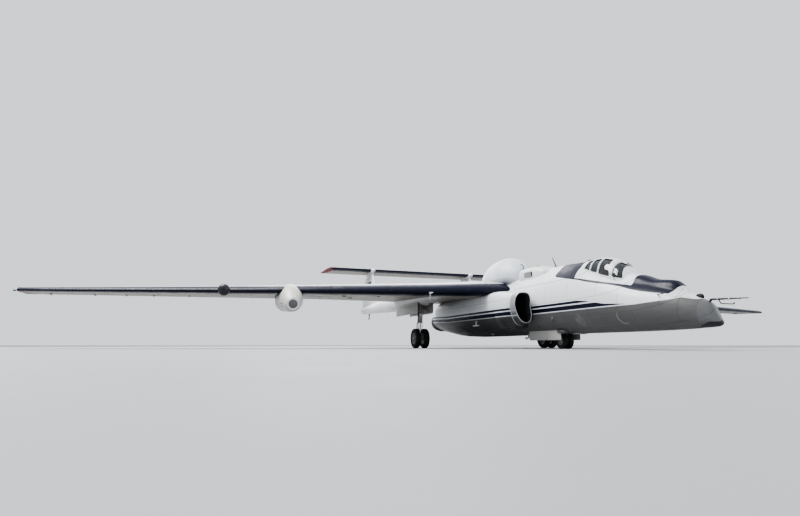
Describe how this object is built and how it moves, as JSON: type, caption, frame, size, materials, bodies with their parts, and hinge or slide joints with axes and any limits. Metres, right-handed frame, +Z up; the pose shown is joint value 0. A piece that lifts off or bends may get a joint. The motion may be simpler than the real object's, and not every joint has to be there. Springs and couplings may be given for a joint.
{
  "type": "high-altitude research aircraft",
  "caption": "High-altitude research aircraft with a long straight wing, tail booms carrying fins and a high tailplane, side intakes, a dorsal dome and sensor pods.",
  "frame": {"origin": "on the floor, midway between the ends of the bounding box", "axes": "+X along the span to port, +Y aft, +Z up"},
  "size_m": [37.46, 23.5506, 4.829],
  "materials": {
    "white_paint": "satin",
    "grey_paint": "satin",
    "wing_grey": "satin",
    "dark_glass": "gloss",
    "gear_metal": "satin",
    "hot_metal": "satin",
    "tyre": "matte",
    "cockpit_grey": "matte"
  },
  "bodies": {
    "airframe": {"boom_port": "white_paint", "boom_starboard": "white_paint", "control_stick": "cockpit_grey", "dorsal_dome": "white_paint", "engine_body": "grey_paint", "equipment_fairing": "white_paint", "fin_port": "white_paint", "fin_starboard": "white_paint", "fuselage_nose": "white_paint", "instrument_panel": "cockpit_grey", "main_door_port_inner": "white_paint", "main_door_port_outer": "white_paint", "main_door_starboard_inner": "white_paint", "main_door_starboard_outer": "white_paint", "main_leg_port": "gear_metal", "main_leg_starboard": "gear_metal", "nose_door_port": "white_paint", "nose_door_starboard": "white_paint", "nose_leg": "gear_metal", "nose_probe": "gear_metal", "nose_window": "dark_glass", "nozzle_port": "hot_metal", "nozzle_starboard": "hot_metal", "pilot_seat": "cockpit_grey", "pod_window_port": "dark_glass", "pod_window_starboard": "dark_glass", "probe_pod_port": "grey_paint", "probe_pod_starboard": "grey_paint", "sensor_pod_port": "white_paint", "sensor_pod_starboard": "white_paint", "tailplane": "wing_grey", "windscreen_frame": "white_paint", "windscreen_glass": "dark_glass", "wing_inner_port": "wing_grey", "wing_inner_starboard": "wing_grey", "wing_outer_port": "wing_grey", "wing_outer_starboard": "wing_grey"},
    "nose_steering": {"nose_fork": "gear_metal"},
    "nose_wheels": {"nose_hub": "gear_metal", "nose_tyre_port": "tyre", "nose_tyre_starboard": "tyre"},
    "main_wheels_port": {"main_port_hub": "gear_metal", "main_port_tyre_inner": "tyre", "main_port_tyre_outer": "tyre"},
    "main_wheels_starboard": {"main_starboard_hub": "gear_metal", "main_starboard_tyre_inner": "tyre", "main_starboard_tyre_outer": "tyre"},
    "canopy": {"canopy_frame": "white_paint", "canopy_glass": "dark_glass"},
    "flap_port": {"flap_port": "wing_grey"},
    "flap_starboard": {"flap_starboard": "wing_grey"},
    "aileron_port": {"aileron_port": "wing_grey"},
    "aileron_starboard": {"aileron_starboard": "wing_grey"},
    "rudder_port": {"rudder_port": "white_paint"},
    "rudder_starboard": {"rudder_starboard": "white_paint"},
    "elevator": {"elevator": "wing_grey"}
  },
  "joints": [
    {"name": "nose_steer", "type": "hinge", "parent": "airframe", "child": "nose_steering", "pos_m": [0, -5.175, 0.76], "axis": [0, 0, 1], "range_deg": [-35, 35]},
    {"name": "nose_wheels_spin", "type": "hinge", "parent": "nose_steering", "child": "nose_wheels", "pos_m": [0, -5.115, 0.28559], "axis": [1, 0, 0], "continuous": true},
    {"name": "main_wheels_port_spin", "type": "hinge", "parent": "airframe", "child": "main_wheels_port", "pos_m": [3.325, 0.55, 0.42471], "axis": [1, 0, 0], "continuous": true},
    {"name": "main_wheels_starboard_spin", "type": "hinge", "parent": "airframe", "child": "main_wheels_starboard", "pos_m": [-3.325, 0.55, 0.42471], "axis": [1, 0, 0], "continuous": true},
    {"name": "canopy_hinge", "type": "hinge", "parent": "airframe", "child": "canopy", "pos_m": [0, -6.72, 2.915], "axis": [-1, 0, 0], "range_deg": [0, 50]},
    {"name": "flap_port_hinge", "type": "hinge", "parent": "airframe", "child": "flap_port", "pos_m": [3.9, 1.885, 2.332], "axis": [-0.9957, 0.0918, 0.0139], "range_deg": [0, 35]},
    {"name": "flap_starboard_hinge", "type": "hinge", "parent": "airframe", "child": "flap_starboard", "pos_m": [-3.9, 1.885, 2.332], "axis": [-0.9957, -0.0918, -0.0139], "range_deg": [0, 35]},
    {"name": "aileron_port_hinge", "type": "hinge", "parent": "airframe", "child": "aileron_port", "pos_m": [12.55, 1.625, 2.208], "axis": [-0.9995, -0.0257, 0.0198], "range_deg": [-20, 20]},
    {"name": "aileron_starboard_hinge", "type": "hinge", "parent": "airframe", "child": "aileron_starboard", "pos_m": [-12.55, 1.625, 2.208], "axis": [-0.9995, 0.0257, -0.0198], "range_deg": [-20, 20]},
    {"name": "rudder_port_hinge", "type": "hinge", "parent": "airframe", "child": "rudder_port", "pos_m": [3.325, 9.86, 2.7], "axis": [0, 0.1586, 0.9873], "range_deg": [-25, 25]},
    {"name": "rudder_starboard_hinge", "type": "hinge", "parent": "airframe", "child": "rudder_starboard", "pos_m": [-3.325, 9.86, 2.7], "axis": [0, 0.1586, 0.9873], "range_deg": [-25, 25]},
    {"name": "elevator_hinge", "type": "hinge", "parent": "airframe", "child": "elevator", "pos_m": [0, 10.105, 4.71], "axis": [1, 0, 0], "range_deg": [-12, 25]}
  ],
  "couplings": [
    {"joint": "flap_starboard_hinge", "follows": "flap_port_hinge", "ratio": 1},
    {"joint": "aileron_starboard_hinge", "follows": "aileron_port_hinge", "ratio": -1},
    {"joint": "rudder_starboard_hinge", "follows": "rudder_port_hinge", "ratio": 1}
  ]
}
